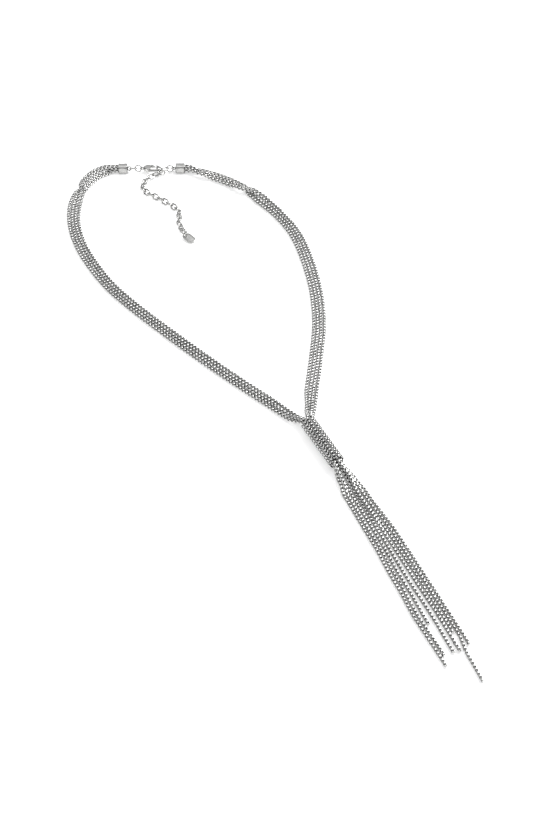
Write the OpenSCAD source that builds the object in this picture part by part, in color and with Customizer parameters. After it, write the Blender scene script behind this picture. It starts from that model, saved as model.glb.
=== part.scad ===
// Lariat necklace of eight fine box chains, lying flat on a surface.
// Millimetres, +Z up. The origin is the middle of the neck opening, on the surface.
// The chains hang from two end caps, run down both sides of the neck, pass through
// one woven sleeve and end as a tassel. The closed clasp and its extension chain are at +Y.

/* [Chains] */
// Distance between the middles of two chains that lie side by side
strand_pitch = 1.5; // [1.45:0.01:1.6]
// Outer diameter of one chain
strand_d = 1.35; // [1:0.05:1.4]
// Height of the middle of a chain that lies on the surface
rest_z = 0.72; // [0.7:0.01:0.8]

/* [Sleeve] */
// Length of the woven sleeve
sleeve_len = 27; // [20:1:30]
// Outer diameter of the sleeve
sleeve_d = 6.8; // [6.4:0.1:8]
// Diameter of the hole that the chains run through
sleeve_bore = 5.2; // [5.1:0.05:5.4]
// Distance of the sleeve's middle below the middle of the neck opening
sleeve_drop = 111; // [110:1:112]
// Distance of the sleeve's middle to the left of the tassel's middle line
sleeve_aside = 1.2; // [0:0.1:1.5]
// Turn of the sleeve from the tassel's middle line
sleeve_turn = 2.5; // [0:0.5:4]

/* [Caps] */
// Length of an end cap without its eye
cap_len = 4; // [3.8:0.1:4.4]
// Outer width and height of an end cap
cap_w = 3.8; // [3.6:0.1:4.2]
// Width and height of the pocket that the chains sit in
cap_pocket = 3.1; // [3:0.05:3.2]
// Depth of the pocket
cap_depth = 3.5; // [3.2:0.1:3.5]
// Radius of the cap's long edges
cap_edge = 0.9; // [0.5:0.1:1.2]

/* [Clasp] */
// Height of the middle of the caps, rings and clasp above the surface
line_z = 1.9; // [1.9:0.05:2.2]
// Thickness of the clasp's flat body
body_t = 1.8; // [1.6:0.1:2]
// Thickness of the clasp's hooked limb
limb_d = 1.2; // [1:0.1:1.2]
// Radius of the middle of the round nose
nose_r = 1.55; // [1.5:0.05:1.6]
// Thickness of the lever
lever_t = 0.7; // [0.6:0.05:0.75]
// Radius of the lever's hinge pin
pin_r = 0.28; // [0.2:0.02:0.3]
// Running clearance of the lever, on every side
lever_gap = 0.06; // [0.04:0.01:0.1]

/* [Rings and links] */
// Wire diameter of the rings and links
wire_d = 0.54; // [0.5:0.02:0.56]
// Wire diameter of the hook ring
hook_wire_d = 0.6; // [0.5:0.02:0.6]
// Clear gap between two links that hang in each other
link_gap = 0.16; // [0.12:0.01:0.2]
// Outer width of an extension link
link_w = 2.82; // [2.7:0.1:3]
// Wire diameter of an extension link
chain_wire_d = 0.6; // [0.56:0.02:0.64]
// Number of links in the extension chain
link_count = 21; // [20:1:22]

/* [Tag] */
// Width of the tag
tag_w = 4.2; // [4:0.1:5]
// Length of the tag
tag_len = 6.4; // [6:0.1:7]
// Thickness of the tag
tag_t = 0.6; // [0.5:0.05:0.7]
// Radius of the hole in the tag
tag_hole_r = 0.62; // [0.55:0.01:0.7]
// Slope of the tag, which leans on its ring
tag_slope = 9; // [8:0.5:10]

/* [Hidden] */
$fn = 48;
strand_sides = 8;
link_sides = 16;
wire_sides = 6;
sleeve_z = sleeve_d / 2;
sleeve_mid = [-sleeve_aside, -sleeve_drop];
sleeve_dir = [sin(sleeve_turn), -cos(sleeve_turn)];
mouth = sleeve_mid - sleeve_len / 2 * sleeve_dir;
fan = [0, -133];
tassel_end = [0, -260];

// The clasp line runs from the mouth of the left cap to the mouth of the right cap.
left_cap_mouth = [-12.4, 101.4];
right_cap_mouth = [15.4, 90.4];
line_vec = right_cap_mouth - left_cap_mouth;
line_len = norm(line_vec);
line_dir = line_vec / line_len;
line_turn = atan2(line_vec.y, line_vec.x);

// Routes of the middle of each side's chains, from the bottom of the cap's pocket to the sleeve.
LEFT_ROUTE = [
    left_cap_mouth + line_dir * cap_depth, left_cap_mouth, [-16, 102.6], [-19.9, 102.5], [-23.9, 101.1],
    [-28.2, 98], [-32.6, 93.2], [-37.5, 86.7], [-41.4, 79], [-44.6, 69.4], [-46.7, 57], [-47, 42],
    [-45, 22], [-39.9, 2.3], [-33.1, -18], [-26, -38], [-18.4, -57.8], [-11, -75.5], [-5.8, -87.5], mouth
];
RIGHT_ROUTE = [
    right_cap_mouth - line_dir * cap_depth, right_cap_mouth, [18.7, 88.3], [22.1, 84.8], [26.2, 80.6],
    [31.5, 72.9], [35.8, 64.2], [39.3, 54.7], [42, 43], [43.4, 26], [40.7, 5], [35.5, -16.8], [28, -37.8],
    [18.8, -56.7], [10, -73.6], [3.4, -86.4], mouth
];

// Each side has two pairs of chains. Columns: distance from the bottom of the cap's pocket in mm,
// then in pitches: place of the pair across the route, spacing of its two chains, height.
in_cap_low = (line_z - rest_z) / strand_pitch - 0.5;
in_cap_high = in_cap_low + 1;
LEFT_OVER = [
    [0, 0, 1, in_cap_high], [5.2, 0, 1, in_cap_high], [10, -0.9, 1.15, 0.92], [22, -0.9, 1.15, 0.9],
    [25, -0.6, 1.1, 1.08], [31, 1.08, 1.1, 1.08], [39, 1.08, 1.1, 0], [52, 1, 1, 0]
];
LEFT_UNDER = [
    [0, 0, 1, in_cap_low], [5.2, 0, 1, in_cap_low], [10, 0.9, 1.15, 0], [22, 0.9, 1.15, 0],
    [25, 0.6, 1.1, 0], [31, -1.08, 1.1, 0], [39, -1.08, 1.1, 0], [52, -1, 1, 0]
];
RIGHT_OVER = [
    [0, 0, 1, in_cap_high], [5.2, 0, 1, in_cap_high], [11.5, -1.08, 1.1, 1], [19.5, -1.08, 1.1, 0.2],
    [27.5, -1.08, 1.1, 0.2], [33.5, -1.08, 1.1, 1.08], [41, 0.6, 1.1, 1.08], [45.5, 1.08, 1.1, 0.5],
    [52, 1.08, 1.1, 0], [62, 1, 1, 0]
];
RIGHT_UNDER = [
    [0, 0, 1, in_cap_low], [5.2, 0, 1, in_cap_low], [11.5, 1.08, 1.1, 0], [33.5, 1.08, 1.1, 0],
    [41, -0.6, 1.1, 0], [45.5, -1.08, 1.1, 0], [52, -1.08, 1.1, 0], [62, -1, 1, 0]
];

// The sleeve holds one chain in the middle and seven around it. Place 0 is on top.
function place(k) =
    k < 0 ? [0, sleeve_z]
    : let (r = strand_pitch / 2 / sin(180 / 7), a = 90 + k * 360 / 7) [r * cos(a), sleeve_z + r * sin(a)];

// Places in mm before and after the sleeve. Columns: y, or distance before the sleeve's mouth
// in the first two rows, then place across the route, then height.
low = rest_z;
LEFT_1 = [[24, -2.25, low], [10, -2.55, 1], [-133, -3.5, 1.5], [-142, -4.8, low], [-170, -5.3, low],
    [-193, -6.3, low], [-214, -7.2, low], [-241, -6.8, low]];
LEFT_2 = [[24, -0.75, low], [10, -1.3, 2.1], [-133, -2.3, 2.7], [-142, -3.3, low], [-170, -3.8, low],
    [-193, -4.7, low], [-214, -5.6, low], [-235, -5.2, low]];
LEFT_3 = [[24, 0.75, low], [10, -0.3, low], [-133, -1.5, 0.9], [-142, -1.8, low], [-170, -2.1, low],
    [-193, -3, low], [-218, -3.7, low]];
LEFT_4 = [[24, 2.25, low], [10, 1, 1.5], [-133, -0.3, 2.2], [-142, -0.3, low], [-170, -0.5, low],
    [-193, -1, low], [-214, -0.8, low], [-235, -1.3, low]];
RIGHT_1 = [[24, -2.25, low], [10, -1, 2.4], [-133, 0.7, 3.6], [-142, 0.45, 2.1], [-156, 0.8, 1.8],
    [-172, 1.2, low], [-193, 1.3, low], [-214, 1.5, low], [-235, 1.2, low]];
RIGHT_2 = [[24, -0.75, low], [10, 0, 0.8], [-133, 0.8, 1.1], [-142, 1.25, low], [-170, 2.8, low],
    [-193, 2.9, low], [-225, 2.9, low]];
RIGHT_3 = [[24, 0.75, low], [10, 1.1, 2.2], [-133, 1.75, 2.6], [-142, 2.8, low], [-170, 4.3, low],
    [-193, 4.4, low], [-226, 4.4, low], [-240, 2.9, low], [-252, 2.4, low]];
RIGHT_4 = [[24, 2.25, low], [10, 2.15, 1.1], [-133, 3.1, 1.4], [-142, 4.35, low], [-170, 5.8, low],
    [-193, 5.9, low], [-233, 5.9, low]];

// One row per chain. Columns: its table, the table of its pair, its side of the pair, its place.
LEFT_CHAINS = [
    [LEFT_1, LEFT_UNDER, -1, 2], [LEFT_2, LEFT_UNDER, 1, 1], [LEFT_3, LEFT_OVER, -1, 3],
    [LEFT_4, LEFT_OVER, 1, -1]
];
RIGHT_CHAINS = [
    [RIGHT_1, RIGHT_UNDER, -1, 0], [RIGHT_2, RIGHT_UNDER, 1, 4], [RIGHT_3, RIGHT_OVER, -1, 6],
    [RIGHT_4, RIGHT_OVER, 1, 5]
];

// The clasp in its own plan: u runs from its eye to its nose, v towards its lever.
claw_start = 9.4;
eye_r = 0.8;
eye_u = eye_r + wire_d / 2;
plate_u = 4.1;
plate_r = 2.05;
nose_u = 7.4;
hook_turn = -30;
pivot = [4.3, 1.25];
lever_tip_u = 7.36;

// Points on the clasp line: distance from the left cap's mouth, and offset towards +Y.
cap_eye_r = 0.85;
cap_eye_t = cap_len + 0.95;
link_end = wire_d + link_gap;
left_link = [[cap_eye_t + cap_eye_r - link_end, 0], [8.2, 0]];
left_ring = [[8.2 - link_end, 0], [claw_start + wire_d / 2 + link_end, 0]];
hook_dir = [cos(hook_turn), sin(hook_turn)];
hook_limb = [claw_start + nose_u, 0] + nose_r * hook_dir;
hook_in = hook_limb - (limb_d / 2 + hook_wire_d / 2 + 0.1) * hook_dir;
hook_out = hook_in + 3.1 * hook_dir;
right_ring = [[21.9, -0.5], [line_len - cap_eye_t - cap_eye_r + link_end, 0]];
right_link_dir = (right_ring[0] - hook_out) / norm(right_ring[0] - hook_out);
right_link = [hook_out - 0.7 * right_link_dir, right_ring[0] + 0.78 * right_link_dir];
right_link_rise = 0.25;

// Route of the extension chain, from the hook ring to the ring of the tag.
chain_start = on_line(hook_out.x, hook_out.y);
tag_hole_at = [-1.75, 42.6];
tag_turn = 22;
tag_ring_r = 1.67;
tag_ring_turn = 12.7;
tag_ring_lean = 4.9;
tag_ring_at = tag_hole_at + [-0.12, 1.26];
CHAIN_ROUTE = [
    chain_start + [0.6, 0.1], chain_start - [1.95, 0.8], [0.9, 91.6], [-1.6, 90.7], [-3.7, 89.3], [-5.5, 87.5],
    [-6.8, 85.2], [-7.2, 82.6], [-6.6, 80], [-5.3, 77.3], [-3.7, 74.5], [-2.3, 71.8], [-0.9, 69], [0.6, 65.8],
    [1.6, 62.6], [1.4, 59.7], [0.3, 56.8], [-1, 53.7], [-1.7, 50.9], [-1.75, 47.6], [-2.18, 44.72]
];

// Curves

function curve_point(a, b, c, d, t) =
    0.5 * (2 * b + (c - a) * t + (2 * a - 5 * b + 4 * c - d) * t * t + (3 * b - a - 3 * c + d) * t * t * t);

// A smooth curve through the points, with n steps between two of them
function curve(points, n = 12) =
    let (last = len(points) - 1,
         p = concat([2 * points[0] - points[1]], points, [2 * points[last] - points[last - 1]]))
    concat([for (i = [1:last], k = [0:n - 1]) curve_point(p[i - 1], p[i], p[i + 1], p[i + 2], k / n)],
        [points[last]]);

// The distance along a line of points, at each point
function distances(p) =
    [for (i = 0, s = 0; i < len(p); s = s + (i < len(p) - 1 ? norm(p[i + 1] - p[i]) : 0), i = i + 1) s];

// A curve as two tables: distance and x, distance and y
function measured(p) =
    let (s = distances(p))
    [[for (i = [0:len(p) - 1]) [s[i], p[i].x]], [for (i = [0:len(p) - 1]) [s[i], p[i].y]]];

function curve_length(table) = table[0][len(table[0]) - 1][0];
function along(table, s) = [lookup(s, table[0]), lookup(s, table[1])];
function across(table, s) = let (d = along(table, s + 1.5) - along(table, s - 1.5)) [-d.y, d.x] / norm(d);

// A value between the rows of a table whose first column is the distance
function eased(rows, s, column) =
    let (last = len(rows) - 1)
    s <= rows[0][0] ? rows[0][column]
    : s >= rows[last][0] ? rows[last][column]
    : let (i = max([for (k = [0:last - 1]) if (rows[k][0] <= s) k]),
           t = (s - rows[i][0]) / (rows[i + 1][0] - rows[i][0]),
           e = t * t * (3 - 2 * t))
      rows[i][column] * (1 - e) + rows[i + 1][column] * e;

// Chains

// The route of one side, run on straight through the sleeve and down to the tassel's end
after_mouth = [mouth + sleeve_len * sleeve_dir, fan, tassel_end];
function side_curve(route) =
    let (last = len(route) - 1,
         p = concat([2 * route[0] - route[1]], route, [mouth + 12 * sleeve_dir]))
    concat([for (i = [1:last], k = [0:11]) curve_point(p[i - 1], p[i], p[i + 1], p[i + 2], k / 12)],
        [mouth], after_mouth);

// Rows of distance, place across the route and height for one chain.
// start is the distance of the sleeve's mouth and end that of the tassel's end.
function chain_rows(chain, start, end) =
    let (own = chain[0], pair = chain[1], hole = place(chain[3]))
    concat(
        [for (r = pair) [r[0], strand_pitch * (r[1] + chain[2] * r[2] / 2), rest_z + strand_pitch * r[3]]],
        [for (k = [0, 1]) [start - own[k][0], own[k][1], own[k][2]]],
        [[start - 0.8, hole[0], hole[1]], [start + sleeve_len, hole[0], hole[1]]],
        [for (k = [2:len(own) - 1]) [end + tassel_end.y - own[k][0], own[k][1], own[k][2]]]);

function steps(a, b, n) = [for (k = [0:n - 1]) a + (b - a) * k / n];

// Distances at which every chain of a side has a ring of corners
function stations(start, end) =
    let (out = start + sleeve_len,
         all = concat(steps(0, 52, 17), steps(52, start - 24, 23), steps(start - 24, start, 8),
             steps(start, out, 3), steps(out, out + 21, 7), steps(out + 21, out + 133, 17)))
    concat([for (s = all) if (s < end - 1.5) s], [end]);

function chain_points(route, chain) =
    let (table = measured(side_curve(route)),
         whole = curve_length(table),
         start = whole - curve_length(measured(concat([mouth], after_mouth))),
         rows = chain_rows(chain, start, whole))
    [for (s = stations(start, rows[len(rows) - 1][0]))
        let (p = along(table, s) + eased(rows, s, 1) * across(table, s)) [p.x, p.y, eased(rows, s, 2)]];

// A tube through the points
module tube(points, r, sides) {
    last = len(points) - 1;
    corners = [for (i = [0:last])
        let (d = points[min(i + 1, last)] - points[max(i - 1, 0)],
             n = cross([0, 0, 1], d) / norm(cross([0, 0, 1], d)),
             u = cross(d, n) / norm(d))
        for (k = [0:sides - 1]) points[i] + r * (cos(360 * k / sides) * n + sin(360 * k / sides) * u)];
    walls = [for (i = [0:last - 1], k = [0:sides - 1])
        let (a = i * sides + k, b = i * sides + (k + 1) % sides)
        for (face = [[a, b, b + sides], [a, b + sides, a + sides]]) face];
    start = [for (k = [sides - 1:-1:0]) k];
    end = [for (k = [0:sides - 1]) last * sides + k];
    polyhedron(corners, concat(walls, [start, end]));
}

module chain_left(k) {
    color("silver") tube(chain_points(LEFT_ROUTE, LEFT_CHAINS[k]), strand_d / 2, strand_sides);
}

module chain_right(k) {
    color("silver") tube(chain_points(RIGHT_ROUTE, RIGHT_CHAINS[k]), strand_d / 2, strand_sides);
}

// Sleeve

module sleeve() {
    color("silver") translate([mouth.x, mouth.y, sleeve_z]) rotate([90, 0, sleeve_turn]) difference() {
        cylinder(d = sleeve_d, h = sleeve_len);
        translate([0, 0, -1]) cylinder(d = sleeve_bore, h = sleeve_len + 2);
    }
}

// Rings and links

// A point on the clasp line, seen from above
function on_line(t, v) = left_cap_mouth + t * line_dir + v * [-line_dir.y, line_dir.x];

// Sets its children on the clasp line, with X along the line
module at_line(t, v = 0, z = line_z) {
    p = on_line(t, v);
    translate([p.x, p.y, z]) rotate(line_turn) children();
}

module ring(r, wire) {
    rotate_extrude() translate([r, 0]) circle(d = wire, $fn = 24);
}

// A ring whose wire passes through points a and b, turned about the line between them
module ring_through(a, b, wire, roll) {
    d = b - a;
    translate((a + b) / 2) rotate(atan2(d.y, d.x)) rotate([roll, 0, 0]) ring(norm(d) / 2, wire);
}

// A long link in the XY plane, its end bars length apart
module link(length, width, wire) {
    r = (width - wire) / 2;
    half = length / 2 - r;
    bend = link_sides / 2 - 1;
    turns = [for (k = [0:link_sides - 1]) -90 + (k - (k > bend ? 1 : 0)) * 180 / bend];
    corners = [for (k = [0:link_sides - 1], j = [0:wire_sides - 1])
        let (out = r + wire / 2 * cos(360 * j / wire_sides))
        [(k > bend ? -half : half) + out * cos(turns[k]), out * sin(turns[k]), wire / 2 * sin(360 * j / wire_sides)]];
    faces = [for (k = [0:link_sides - 1], j = [0:wire_sides - 1])
        let (a = k * wire_sides + j,
             b = k * wire_sides + (j + 1) % wire_sides,
             c = (k + 1) % link_sides * wire_sides + (j + 1) % wire_sides,
             d = (k + 1) % link_sides * wire_sides + j)
        for (face = [[a, b, c], [a, c, d]]) face];
    polyhedron(corners, faces);
}

module link_through(a, b, roll) {
    d = b - a;
    translate((a + b) / 2) rotate(atan2(d.y, d.x)) rotate([roll, 0, 0]) link(norm(d), 2.5, wire_d);
}

module link_left() {
    color("silver") at_line(0) link_through(left_link[0], left_link[1], -25);
}

module jump_ring_left() {
    color("silver") at_line(0) ring_through(left_ring[0], left_ring[1], wire_d, 65);
}

module hook_ring() {
    color("silver") at_line(0) ring_through(hook_in, hook_out, hook_wire_d, 90);
}

module link_right() {
    color("silver") at_line(0, 0, line_z + right_link_rise) link_through(right_link[0], right_link[1], 0);
}

module jump_ring_right() {
    color("silver") at_line(0) ring_through(right_ring[0], right_ring[1], wire_d, 70);
}

// End caps

module rounded_square(w, r) {
    square([w, w - 2 * r], center = true);
    square([w - 2 * r, w], center = true);
    for (x = [-1, 1], y = [-1, 1]) translate([x, y] * (w / 2 - r)) circle(r);
}

// A cap along X with its mouth at the origin and its eye turned by roll
module end_cap(roll) {
    rotate([0, 90, 0]) difference() {
        linear_extrude(cap_len) rounded_square(cap_w, cap_edge);
        translate([0, 0, -1]) linear_extrude(cap_depth + 1 + lever_gap) rounded_square(cap_pocket, 0.3);
    }
    translate([cap_eye_t, 0, 0]) rotate([roll, 0, 0]) ring(cap_eye_r, wire_d);
}

module end_cap_left() {
    color("silver") at_line(0) end_cap(40);
}

module end_cap_right() {
    color("silver") at_line(line_len) rotate(180) end_cap(0);
}

// Clasp

module clasp_plate() {
    difference() {
        union() {
            translate([plate_u, 0]) circle(plate_r);
            polygon([[eye_u + eye_r, -0.5], [3, -1.72], [3, 1.72], [eye_u + eye_r, 0.5]]);
        }
        translate([plate_u + 1.8, 0]) circle(1);
    }
}

module clasp_body() {
    color("silver") at_line(claw_start) {
        difference() {
            union() {
                linear_extrude(body_t, center = true) clasp_plate();
                translate([eye_u, 0, 0]) ring(eye_r, wire_d);
                translate([plate_u, -nose_r, 0]) rotate([0, 90, 0]) cylinder(d = limb_d, h = nose_u - plate_u);
                translate([nose_u, 0, 0]) rotate(-90) rotate_extrude(angle = 175)
                    translate([nose_r, 0]) circle(d = limb_d, $fn = 32);
            }
            translate([3.2, 0.2, -lever_t / 2 - lever_gap]) cube([3.4, 3, lever_t + 2 * lever_gap]);
        }
        translate([pivot.x, pivot.y, -body_t / 2]) cylinder(r = pin_r, h = body_t);
    }
}

module lever_outline() {
    translate(pivot) circle(0.72);
    polygon([[pivot.x, pivot.y - 0.72], [lever_tip_u - 0.2, 0.93], [lever_tip_u, 0.98], [lever_tip_u, 1.68],
        [6.6, 1.77], [6.2, 2.3], [5.75, 2.75], [5.3, 2.75], [5.25, 2.3], [pivot.x, pivot.y + 0.72]]);
}

module clasp_lever() {
    color("silver") at_line(claw_start) difference() {
        linear_extrude(lever_t, center = true) lever_outline();
        translate([pivot.x, pivot.y, -1]) cylinder(r = pin_r + lever_gap, h = 2);
    }
}

// Extension chain and tag

// How far an extension link leans over, and the height at which it then touches the surface
function lean(i) = i < 4 ? -12 - 4 * i : i == link_count - 1 ? -29 : -34 + 8 * sin(47 * i);
function link_roll(i) = lean(i) + (i % 2) * 88;
function link_rise(i) =
    chain_wire_d / 2 + (link_w - chain_wire_d) / 2 * max(abs(sin(lean(i))), abs(sin(lean(i) + 88)));
function link_z(i) = i == 0 ? line_z - 0.56 : i == link_count - 1 ? 1.3 : link_rise(i) + 0.02;

module extension_chain() {
    table = measured(curve(CHAIN_ROUTE));
    spacing = curve_length(table) / link_count;
    color("silver") for (i = [0:link_count - 1]) {
        a = along(table, i * spacing);
        b = along(table, (i + 1) * spacing);
        translate([(a.x + b.x) / 2, (a.y + b.y) / 2, link_z(i)]) rotate(atan2(b.y - a.y, b.x - a.x))
            rotate([link_roll(i), 0, 0]) link(norm(b - a) + chain_wire_d + link_gap, link_w, chain_wire_d);
    }
}

module tag_ring() {
    z = tag_ring_r * cos(tag_ring_lean) + wire_d / 2 + 0.02;
    color("silver") translate([tag_ring_at.x, tag_ring_at.y, z]) rotate(tag_ring_turn)
        rotate([0, 90 + tag_ring_lean, 0]) ring(tag_ring_r, wire_d);
}

module tag() {
    end_r = tag_w / 2;
    hole_y = tag_len - 1.25;
    color("silver") translate([tag_hole_at.x, tag_hole_at.y, 0]) rotate(tag_turn) translate([0, -hole_y, 0])
        rotate([tag_slope, 0, 0]) difference() {
            linear_extrude(tag_t) {
                for (y = [end_r, tag_len - end_r]) translate([0, y]) circle(end_r);
                translate([-end_r, end_r]) square([tag_w, tag_len - tag_w]);
            }
            translate([0, hole_y, -1]) cylinder(r = tag_hole_r, h = tag_t + 2);
        }
}

chain_left(0);  // chain_left_1
chain_left(1);  // chain_left_2
chain_left(2);  // chain_left_3
chain_left(3);  // chain_left_4
chain_right(0);  // chain_right_1
chain_right(1);  // chain_right_2
chain_right(2);  // chain_right_3
chain_right(3);  // chain_right_4
sleeve();
end_cap_left();
end_cap_right();
link_left();
jump_ring_left();
clasp_body();
clasp_lever();
hook_ring();
link_right();
jump_ring_right();
extension_chain();
tag_ring();
tag();
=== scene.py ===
"""Looks of the lariat necklace: box chains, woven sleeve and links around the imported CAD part."""

import math

import bmesh
import bpy
import numpy as np
from mathutils import Matrix, Vector

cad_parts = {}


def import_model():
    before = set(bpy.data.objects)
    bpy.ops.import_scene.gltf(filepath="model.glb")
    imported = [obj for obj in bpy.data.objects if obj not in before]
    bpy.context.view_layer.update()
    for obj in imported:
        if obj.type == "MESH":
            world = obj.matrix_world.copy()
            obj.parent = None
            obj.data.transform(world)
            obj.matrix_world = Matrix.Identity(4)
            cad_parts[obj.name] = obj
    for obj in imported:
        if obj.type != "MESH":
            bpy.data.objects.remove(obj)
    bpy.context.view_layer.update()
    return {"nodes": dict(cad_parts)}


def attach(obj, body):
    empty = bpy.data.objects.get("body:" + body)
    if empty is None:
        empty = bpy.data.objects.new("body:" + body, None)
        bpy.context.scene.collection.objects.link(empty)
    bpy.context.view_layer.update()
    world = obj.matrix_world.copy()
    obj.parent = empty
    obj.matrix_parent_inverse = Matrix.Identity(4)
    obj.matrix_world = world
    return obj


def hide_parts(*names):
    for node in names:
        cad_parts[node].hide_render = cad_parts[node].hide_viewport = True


MM = 0.001
# Lengths in millimetres that differ by less than this are taken as the same
NEAR = 1e-4

# Chains, in millimetres. A link is a rounded square loop of flat strip.
STRAND_PITCH = 1.5
REST_Z = 0.76
LINK_PITCH = 0.95
LINK_SIZE = 1.49
LINK_STRIP = 0.74
LINK_THICK = 0.27
LINK_BEVEL = 0.1
# Half the length over which a link's direction is taken
LINK_REACH = 0.4
# What counts as the outside of a link: as a share of the wire's middle line, and of its diagonal
ON_LINE = 0.999
CORNER_REACH = 0.43
# How fast a link's painted shade lifts from its underside to its top, per millimetre
UP_FADE = 3.5
# A link this wide has this much cut from each corner, and other links in proportion
CORNER_FOR = 1.46
CORNER_CUT = 0.42
# A chain's path: its step, the reach over which its direction is taken, the length of one wave of
# its twist, and how far before the sleeve's mouth it has come to its place in the sleeve
PATH_STEP = 0.5
PATH_REACH = 1.5
TWIST_WAVE = 9
MOUTH_RUN = 0.8
CURVE_STEPS = 12
RUN_ON = 12

# Sleeve
SLEEVE_LEN = 27.0
SLEEVE_D = 6.8
SLEEVE_MID = np.array([-1.2, -111.0])
SLEEVE_TURN = math.radians(2.5)
SLEEVE_ROWS = 12
SLEEVE_FLAT_STRIP = 0.5
SLEEVE_FLAT_THICK = 0.22
SLEEVE_UPRIGHT_LEN = 1.05
SLEEVE_UPRIGHT_TALL = 0.95
SLEEVE_UPRIGHT_STRIP = 0.74
SLEEVE_PROUD = 0.03
SLEEVE_Z = SLEEVE_D / 2
SLEEVE_DIR = np.array([math.sin(SLEEVE_TURN), -math.cos(SLEEVE_TURN)])
MOUTH = SLEEVE_MID - SLEEVE_LEN / 2 * SLEEVE_DIR
# Where the chains start to fan out, and where the tassel ends
FAN = (0, -133)
TASSEL_END = (0, -260)

# Clasp line
CAP_DEPTH = 3.5
CAP_LEN = 4.0
CAP_W = 3.8
LINE_Z = 1.9
WIRE_D = 0.54
LINK_GAP = 0.16
LINK_W = 2.82
LINE_LINK_W = 2.5
CHAIN_WIRE_D = 0.6
LINK_COUNT = 21
LAST = LINK_COUNT - 1
# The extension links are drawn a little fuller than the CAD part's
DRAWN_LINK_W = LINK_W + 0.08
DRAWN_WIRE_D = 0.68
# How far the extension links lean from flat, in degrees, and how far every second one is turned
FIRST_LEANS = (-12, -16, -20, -24)
LEAN = -34
LEAN_SWING = 8
LEAN_STEP = 47
LAST_LEAN = -29
QUARTER = 88
FIRST_LINK_Z = LINE_Z - 0.56
LAST_LINK_Z = 1.3
LINK_CLEAR = 0.02
LINK_END = WIRE_D + LINK_GAP
LEFT_CAP_MOUTH = np.array([-12.4, 101.4])
RIGHT_CAP_MOUTH = np.array([15.4, 90.4])
LINE_LEN = float(np.linalg.norm(RIGHT_CAP_MOUTH - LEFT_CAP_MOUTH))
LINE_DIR = (RIGHT_CAP_MOUTH - LEFT_CAP_MOUTH) / LINE_LEN
CAP_EYE_R = 0.85
CAP_EYE_T = CAP_LEN + 0.95
CAP_EDGE = 0.9
CAP_END_EDGE = 0.3
CAP_WALL = 0.35
BAND_W = CAP_W + 0.22
BAND_LEN = 0.42
BAND_THICK = 0.28
BAND_AT = (0.24, CAP_LEN - 0.64)
# Cuts across the cap where its painted shade changes, and how far the painted shade reaches in from below and
# the ends
CAP_CUTS = (0.4, CAP_LEN - 0.45)
CAP_SHADE_UP = 1.6
CAP_SHADE_IN = 0.9

# Routes of the middle of each side's chains, as in the CAD part
LEFT_ROUTE = [
    LEFT_CAP_MOUTH + LINE_DIR * CAP_DEPTH, LEFT_CAP_MOUTH, (-16, 102.6), (-19.9, 102.5), (-23.9, 101.1),
    (-28.2, 98), (-32.6, 93.2), (-37.5, 86.7), (-41.4, 79), (-44.6, 69.4), (-46.7, 57), (-47, 42),
    (-45, 22), (-39.9, 2.3), (-33.1, -18), (-26, -38), (-18.4, -57.8), (-11, -75.5), (-5.8, -87.5), MOUTH,
]
RIGHT_ROUTE = [
    RIGHT_CAP_MOUTH - LINE_DIR * CAP_DEPTH, RIGHT_CAP_MOUTH, (18.7, 88.3), (22.1, 84.8), (26.2, 80.6),
    (31.5, 72.9), (35.8, 64.2), (39.3, 54.7), (42, 43), (43.4, 26), (40.7, 5), (35.5, -16.8), (28, -37.8),
    (18.8, -56.7), (10, -73.6), (3.4, -86.4), MOUTH,
]

# Pairs of chains. Columns: distance from the bottom of the cap's pocket in mm, then in pitches:
# place of the pair across the route, spacing of its two chains, height.
IN_CAP_LOW = (LINE_Z - REST_Z) / STRAND_PITCH - 0.5
IN_CAP_HIGH = IN_CAP_LOW + 1
LEFT_OVER = [
    (0, 0, 1, IN_CAP_HIGH), (5.2, 0, 1, IN_CAP_HIGH), (10, -0.9, 1.15, 0.92), (22, -0.9, 1.15, 0.9),
    (25, -0.6, 1.1, 1.08), (31, 1.08, 1.1, 1.08), (39, 1.08, 1.1, 0), (52, 1, 1, 0),
]
LEFT_UNDER = [
    (0, 0, 1, IN_CAP_LOW), (5.2, 0, 1, IN_CAP_LOW), (10, 0.9, 1.15, 0), (22, 0.9, 1.15, 0),
    (25, 0.6, 1.1, 0), (31, -1.08, 1.1, 0), (39, -1.08, 1.1, 0), (52, -1, 1, 0),
]
RIGHT_OVER = [
    (0, 0, 1, IN_CAP_HIGH), (5.2, 0, 1, IN_CAP_HIGH), (11.5, -1.08, 1.1, 1), (19.5, -1.08, 1.1, 0.2),
    (27.5, -1.08, 1.1, 0.2), (33.5, -1.08, 1.1, 1.08), (41, 0.6, 1.1, 1.08), (45.5, 1.08, 1.1, 0.5),
    (52, 1.08, 1.1, 0), (62, 1, 1, 0),
]
RIGHT_UNDER = [
    (0, 0, 1, IN_CAP_LOW), (5.2, 0, 1, IN_CAP_LOW), (11.5, 1.08, 1.1, 0), (33.5, 1.08, 1.1, 0),
    (41, -0.6, 1.1, 0), (45.5, -1.08, 1.1, 0), (52, -1.08, 1.1, 0), (62, -1, 1, 0),
]

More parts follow.
